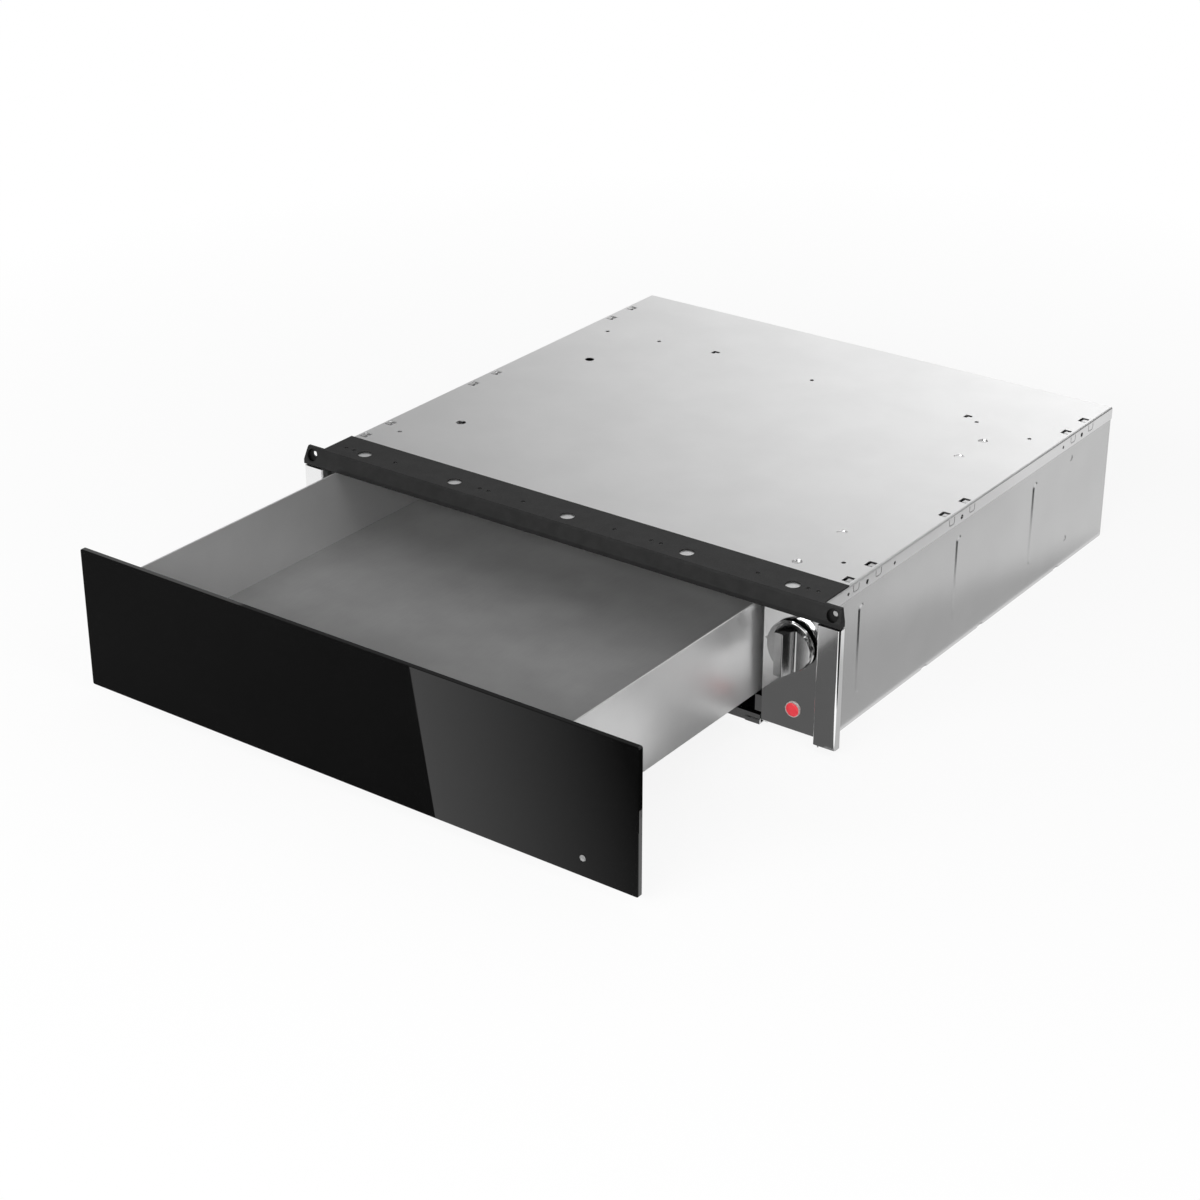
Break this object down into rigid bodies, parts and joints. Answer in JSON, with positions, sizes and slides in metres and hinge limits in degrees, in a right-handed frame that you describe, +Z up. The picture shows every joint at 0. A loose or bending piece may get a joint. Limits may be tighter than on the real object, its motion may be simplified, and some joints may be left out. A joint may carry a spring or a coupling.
{
  "type": "built-in warming drawer",
  "caption": "Built-in warming drawer with a sheet-metal casing, a black glass front on telescopic slides, a thermostat knob and a red pilot lamp.",
  "frame": {"origin": "centre of the casing's underside, without posts, glass and screw heads", "axes": "+X right seen from the front, +Y to the back, +Z up"},
  "size_m": [0.595, 0.8358, 0.1418],
  "materials": {
    "galvanised_sheet": "satin galvanised sheet",
    "bright_steel": "bright rolled stainless steel",
    "drawer_steel": "satin stainless steel, glossy outside",
    "black_coat": "satin black powder coat",
    "black_glass": "polished black tempered glass",
    "window_plastic": "smoked clear window",
    "red_lens": "translucent red lens",
    "lamp_plastic": "light grey lamp housing",
    "knob_metal": "satin metallic knob",
    "zinc_steel": "bright zinc plated steel",
    "cage_steel": "yellow passivated cage with polished balls",
    "element_sheath": "oxidised heating element sheath",
    "insulation": "pressed mineral fibre",
    "white_ceramic": "glazed white housing",
    "copper_tube": "drawn copper",
    "wire_cover": "silicone wire insulation",
    "black_rubber": "matt black rubber",
    "grey_plastic": "moulded grey plastic",
    "dark_plastic": "moulded dark plastic",
    "magnet_steel": "ground magnet steel"
  },
  "bodies": {
    "root": {"top_cover": "galvanised_sheet", "side_panel_left": "galvanised_sheet", "side_panel_right": "galvanised_sheet", "base_plate": "galvanised_sheet", "back_panel": "galvanised_sheet", "top_bracket": "black_coat", "front_post_left": "bright_steel", "front_post_right": "bright_steel", "control_panel": "bright_steel", "bay_partition": "galvanised_sheet", "insulation_pad": "insulation", "heater_tray": "galvanised_sheet", "heating_element": "element_sheath", "heater_clips": "zinc_steel", "thermal_cutout": "white_ceramic", "thermostat_body": "zinc_steel", "thermostat_bulb": "copper_tube", "bulb_clips": "zinc_steel", "pilot_lamp_body": "lamp_plastic", "pilot_lamp_lens": "red_lens", "terminal_block": "white_ceramic", "cable_gland": "black_rubber", "slide_bracket_left": "zinc_steel", "slide_bracket_right": "zinc_steel", "slide_outer_left": "zinc_steel", "slide_outer_right": "zinc_steel", "latch_body": "grey_plastic", "latch_spring": "zinc_steel", "back_screws": "zinc_steel", "wiring": "wire_cover"},
    "drawer": {"front_glass": "black_glass", "front_lens": "window_plastic", "glass_tapes": "black_rubber", "front_carrier": "galvanised_sheet", "drawer_front": "drawer_steel", "drawer_back": "drawer_steel", "drawer_side_left": "drawer_steel", "drawer_side_right": "drawer_steel", "drawer_floor": "drawer_steel", "drawer_runner_left": "zinc_steel", "drawer_runner_right": "zinc_steel", "slide_inner_left": "zinc_steel", "slide_inner_right": "zinc_steel", "latch_striker": "magnet_steel", "front_screws": "zinc_steel"},
    "knob": {"knob": "knob_metal", "thermostat_shaft": "zinc_steel"},
    "latch_plunger": {"latch_plunger": "dark_plastic", "latch_magnet": "magnet_steel"},
    "slide_middle_left": {"slide_middle_left": "zinc_steel"},
    "ball_cage_outer_left": {"ball_cage_outer_left": "cage_steel"},
    "ball_cage_inner_left": {"ball_cage_inner_left": "cage_steel"},
    "slide_middle_right": {"slide_middle_right": "zinc_steel"},
    "ball_cage_outer_right": {"ball_cage_outer_right": "cage_steel"},
    "ball_cage_inner_right": {"ball_cage_inner_right": "cage_steel"}
  },
  "joints": [
    {"name": "drawer_slide", "type": "slide", "parent": "root", "child": "drawer", "axis": [0, -1, 0], "range_m": [-0.2653, 0.1367]},
    {"name": "knob_turn", "type": "hinge", "parent": "root", "child": "knob", "pos_m": [0.2483, -0.2685, 0.0915], "axis": [0, 1, 0], "range_deg": [0, 240]},
    {"name": "latch_push", "type": "slide", "parent": "root", "child": "latch_plunger", "axis": [0, 1, 0], "range_m": [0, 0.006], "stiffness_N_per_m": 400, "springref_m": -0.005, "deforming": ["latch_spring"]},
    {"name": "slide_middle_left_slide", "type": "slide", "parent": "root", "child": "slide_middle_left", "axis": [0, -1, 0], "range_m": [-0.13265, 0.06835]},
    {"name": "ball_cage_outer_left_slide", "type": "slide", "parent": "root", "child": "ball_cage_outer_left", "axis": [0, -1, 0], "range_m": [-0.06632, 0.03417]},
    {"name": "ball_cage_inner_left_slide", "type": "slide", "parent": "root", "child": "ball_cage_inner_left", "axis": [0, -1, 0], "range_m": [-0.19898, 0.10253]},
    {"name": "slide_middle_right_slide", "type": "slide", "parent": "root", "child": "slide_middle_right", "axis": [0, -1, 0], "range_m": [-0.13265, 0.06835]},
    {"name": "ball_cage_outer_right_slide", "type": "slide", "parent": "root", "child": "ball_cage_outer_right", "axis": [0, -1, 0], "range_m": [-0.06632, 0.03417]},
    {"name": "ball_cage_inner_right_slide", "type": "slide", "parent": "root", "child": "ball_cage_inner_right", "axis": [0, -1, 0], "range_m": [-0.19898, 0.10253]}
  ],
  "couplings": [
    {"joint": "slide_middle_left_slide", "follows": "drawer_slide", "ratio": 0.5},
    {"joint": "ball_cage_outer_left_slide", "follows": "drawer_slide", "ratio": 0.25},
    {"joint": "ball_cage_inner_left_slide", "follows": "drawer_slide", "ratio": 0.75},
    {"joint": "slide_middle_right_slide", "follows": "drawer_slide", "ratio": 0.5},
    {"joint": "ball_cage_outer_right_slide", "follows": "drawer_slide", "ratio": 0.25},
    {"joint": "ball_cage_inner_right_slide", "follows": "drawer_slide", "ratio": 0.75}
  ]
}
